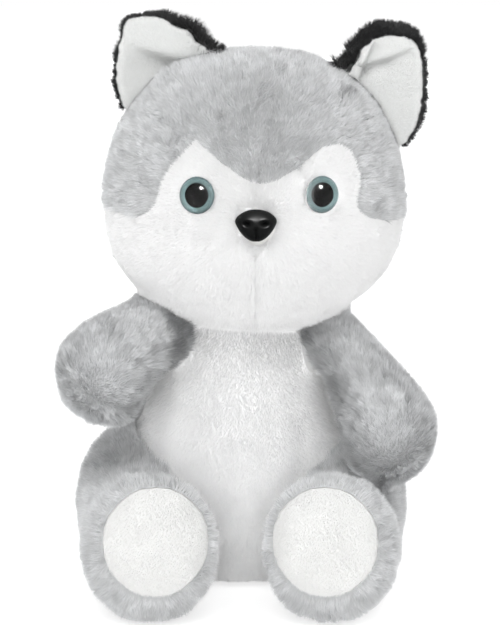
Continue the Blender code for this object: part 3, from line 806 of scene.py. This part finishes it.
# Eyes: moulded clear domes with the iris painted on the back, over a black post whose head is
# the pupil. The post's stem goes through the cloth and a washer holds it. The head is lowered to
# the foot of the dome, so that the pupil stays in the middle of the iris when seen from the side.
dome_steps = 16
turned_sides = 64
paint = 0.00005
iris_share = 0.985
rim_starts, rim_full = 0.84, 0.95


def axis_of(first, second):
    """The frame whose +Z runs through two turned nodes, from the first one's middle."""
    middles = []
    for name in (first, second):
        corners = nodes[name].data.vertices
        middles.append(sum((corner.co for corner in corners), Vector()) / len(corners))
    turn = (middles[1] - middles[0]).to_track_quat("Z", "Y").to_matrix().to_4x4()
    return Matrix.Translation(middles[0]) @ turn


def turned(name, profile, place):
    """A closed turned shape from (radius, height) corners, from its top down."""
    form = bmesh.new()
    rings = []
    for radius, height in profile:
        count = turned_sides if radius else 1
        rings.append([
            form.verts.new((radius * math.cos(2 * math.pi * step / count),
                            radius * math.sin(2 * math.pi * step / count), height))
            for step in range(count)
        ])
    for upper, lower in zip(rings, rings[1:] + rings[:1] if len(rings[0]) > 1 else rings[1:]):
        for step in range(turned_sides):
            corners = []
            for ring, at in ((upper, step), (lower, step), (lower, step + 1), (upper, step + 1)):
                corner = ring[at % len(ring)]
                if corner not in corners:
                    corners.append(corner)
            if len(corners) > 2:
                form.faces.new(corners)
    form.transform(place)
    bmesh.ops.recalc_face_normals(form, faces=form.faces)
    mesh = mesh_of(form, name)
    mesh.shade_smooth()
    return add_object(name, mesh)


def speckled(start, scale, detail):
    """Fine noise in the piece's own space."""
    coords = start.make("ShaderNodeTexCoord", {}, {}, "Object")
    return start.make("ShaderNodeTexNoise", {},
                      {"Vector": coords, "Scale": scale, "Detail": detail}, 0)


dome_finish, _, _ = finish_of("clear_dome", {
    "Base Color": (0.85, 0.85, 0.85, 1), "Roughness": 0.0, "IOR": 1.12, "Transmission Weight": 1.0,
    "Specular IOR Level": 0.1, "Coat Weight": 0.12, "Coat Roughness": 0.14,
})
iris_finish, start, sockets = finish_of("iris_paint", {"Roughness": 0.4})
ring = start.make("ShaderNodeAttribute", {"attribute_name": "ring"}, {}, "Fac")
inner = speckled(start, 900.0, 2.0).mix(colour(78, 102, 104), colour(102, 127, 127))
ring.between(rim_starts, rim_full).mix(inner, colour(46, 76, 79)).feed(sockets["Base Color"])
black_plastic, start, sockets = finish_of("black_plastic", {
    "Base Color": colour(12, 13, 13), "Specular IOR Level": 0.05,
})
grains = speckled(start, 1400.0, 3.0)
(0.40 + grains * 0.12).feed(sockets["Roughness"])
bumps = start.make("ShaderNodeBump", {}, {"Height": grains, "Strength": 0.05, "Distance": 0.0003})
bumps.feed(sockets["Normal"])
pupil_black, start, sockets = finish_of("pupil_black", {
    "Base Color": colour(4, 4, 4), "Specular IOR Level": 0.0,
})
(0.55 + speckled(start, 900.0, 2.0) * 0.1).feed(sockets["Roughness"])

for side in ("left", "right"):
    name = "eye_lens_" + side
    place = axis_of("eye_washer_" + side, name)
    back = place.inverted()
    corners = [back @ corner.co for corner in nodes[name].data.vertices]
    foot = min(corner.z for corner in corners)
    top = max(corner.z for corner in corners)
    wide = max(corner.xy.length for corner in corners)
    post = welded("eye_post_" + side)
    post.transform(back)
    pupil_top = max(corner.co.z for corner in post.verts)
    pupil = max(corner.co.xy.length for corner in post.verts if corner.co.z > pupil_top - paint)
    for corner in post.verts:
        corner.co.z = min(corner.co.z, foot - gap_closed)
    bmesh.ops.dissolve_degenerate(post, dist=weld, edges=post.edges)
    post.transform(place)
    post = add_object("eye_post_" + side + "_head", mesh_of(post, "eye_post_" + side + "_head"))
    sphere = (wide ** 2 + (top - foot) ** 2) / (2 * (top - foot))
    half_turn = math.asin(wide / sphere)
    arc = [(sphere * math.sin(half_turn * step / dome_steps),
            top - sphere + sphere * math.cos(half_turn * step / dome_steps))
           for step in range(dome_steps + 1)]
    arc[0] = (0, top)
    dome = turned(name + "_dome", arc + [(0, foot)], place)
    rim = wide * iris_share
    iris = turned("iris_" + side, [(rim, foot - paint), (rim, foot - 2 * paint),
                                   (pupil, foot - 2 * paint), (pupil, foot - paint)], place)
    rings = [(back @ corner.co).xy.length / wide for corner in iris.data.vertices]
    iris.data.attributes.new("ring", "FLOAT", "POINT").data.foreach_set("value", rings)
    for made, finish, replaced in ((dome, dome_finish, [name]), (iris, iris_finish, []),
                                   (post, pupil_black, ["eye_post_" + side])):
        made.data.materials.clear()
        made.data.materials.append(finish)
        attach(made, "root")
        if replaced:
            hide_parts(*replaced)

# Nose: one moulding of black plastic, with two lobes, nostrils and the line under them.
# It is pressed into the pile, and its ridged stem and washer are the frame's.
nose_over = 0.0005
nose_deep = 0.0062
nose_back = 0.35
lobe = (0.46, 0.45, 0.36)
nostril = (0.42, 0.22, 0.15)
line_width, line_top, line_fade = 0.055, 0.05, 0.2
lobe_out, nostril_in, line_in = 0.14, 0.55, 0.40
squared, taper, taper_power = 0.92, 0.34, 1.4
cheek_out, cheek_up, cheek_width = 0.10, 0.35, 0.4
low, high = (Vector(corner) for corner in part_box("nose"))
nose_half = Vector(((high.x - low.x) / 2 + nose_over, nose_deep, (high.z - low.z) / 2 + nose_over))
nose_middle = Vector(((low.x + high.x) / 2 + nose_over, low.y + nose_half.y, (low.z + high.z) / 2))


def pair_at(across, up, place):
    """1 in the middle of a spot on each side of the nose, falling off round it."""
    beside_line, height, width = place
    return sum(math.exp(-(((across - side * beside_line) / width) ** 2
                          + ((up - height) / width) ** 2)) for side in (-1, 1))


form = bmesh.new()
bmesh.ops.create_uvsphere(form, u_segments=72, v_segments=48, radius=1)
for vertex in form.verts:
    across, deep, up = vertex.co
    across = math.copysign(abs(across) ** squared, across)
    across *= 1 - taper * ((1 - up) / 2) ** taper_power
    across *= 1 + cheek_out * math.exp(-((up - cheek_up) / cheek_width) ** 2)
    if deep < 0:
        line = math.exp(-(across / line_width) ** 2) * soft_step((line_top - up) / line_fade)
        deep += (-lobe_out * pair_at(across, up, lobe) + nostril_in * pair_at(across, up, nostril)
                 + line_in * line)
    else:
        deep *= nose_back
    vertex.co = nose_middle + Vector((across * nose_half.x, deep * nose_half.y, up * nose_half.z))
nose = add_object("nose_moulding", mesh_of(form, "nose_moulding"))
nose.data.shade_smooth()
nose.data.materials.append(black_plastic)
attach(nose, "root")
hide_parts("nose")

# Filling and washers: loose polyester fibre under the cloth, and turned plastic washers on the
# stems behind it. None of it shows from outside.
fibre, start, sockets = finish_of("fibre_fill", {"Roughness": 0.95, "Sheen Weight": 0.3})
wisps = speckled(start, 240.0, 6.0)
wisps.mix(colour(214, 214, 210), colour(250, 250, 248)).feed(sockets["Base Color"])
bumps = start.make("ShaderNodeBump", {}, {"Height": wisps, "Strength": 0.6, "Distance": 0.001})
bumps.feed(sockets["Normal"])
washer_plastic, start, sockets = finish_of("washer_plastic", {"Base Color": colour(222, 224, 222)})
(0.35 + speckled(start, 700.0, 2.0) * 0.2).feed(sockets["Roughness"])
for name, node in nodes.items():
    if name.startswith("arm_stuffing"):
        fill = add_object(name + "_fibre", mesh_of(welded(name), name + "_fibre"))
        fill.data.materials.clear()
        fill.data.materials.append(fibre)
        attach(fill, "root")
        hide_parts(name)
    elif "stuffing" in name or "washer" in name:
        for slot in node.material_slots:
            slot.material = fibre if "stuffing" in name else washer_plastic

# Floor and light: a pale floor that looks white, and an even light all round.
# Soft lamps light the front, the left top and the back, and a small one makes the glints.
floor_half = 3.0
floor_glow, glow_share = 1.6, 0.45
world_light = 0.72
floor_form = bmesh.new()
bmesh.ops.create_grid(floor_form, x_segments=1, y_segments=1, size=floor_half)
floor = add_object("floor", mesh_of(floor_form, "floor"))
material, start, sockets = finish_of("floor", {"Base Color": (0.9, 0.9, 0.9, 1), "Roughness": 0.9})
rays = start.make("ShaderNodeLightPath", {}, {}, "Is Camera Ray")
glow = start.make("ShaderNodeEmission", {}, {"Color": (1, 1, 1, 1), "Strength": floor_glow})
shader = Wire(material.node_tree, material.node_tree.nodes["Principled BSDF"].outputs[0])
both = start.make("ShaderNodeMixShader", {}, {0: rays * glow_share, 1: shader, 2: glow})
both.feed(material.node_tree.nodes["Material Output"].inputs[0])
floor.data.materials.append(material)

world = bpy.data.worlds.new("studio")
scene.world = world
world.use_nodes = True
start = Wire(world.node_tree)
seen = start.make("ShaderNodeLightPath", {}, {}, "Is Camera Ray")
background = world.node_tree.nodes["Background"]
background.inputs[0].default_value = (1, 1, 1, 1)
(world_light + seen * (1 - world_light)).feed(background.inputs[1])


def lamp(name, place, aim, size, power, glint=False):
    """A round lamp. One for glints shows only in gloss, and the others never do."""
    data = bpy.data.lights.new(name, "AREA")
    data.shape = "DISK"
    data.size = size
    data.energy = power
    made = bpy.data.objects.new(name, data)
    made.location = place
    made.rotation_euler = (Vector(aim) - Vector(place)).to_track_quat("-Z", "Y").to_euler()
    made.visible_diffuse = not glint
    made.visible_glossy = glint
    made.visible_transmission = not glint
    scene.collection.objects.link(made)


lamp("key", (-0.35, -0.90, 1.15), aim=(0, 0, 0.11), size=0.60, power=6)
lamp("fill", (-0.12, -1.9, 0.16), aim=(0, 0, 0.08), size=1.2, power=23.5)
lamp("glints", (0.24, -0.86, 1.20), aim=(0, 0, 0.17), size=0.40, power=230, glint=True)
lamp("back", (0.5, 1.9, 0.7), aim=(0, 0, 0.11), size=2.0, power=42)
bpy.data.objects.remove(strand)
bpy.data.objects.remove(stuffed)
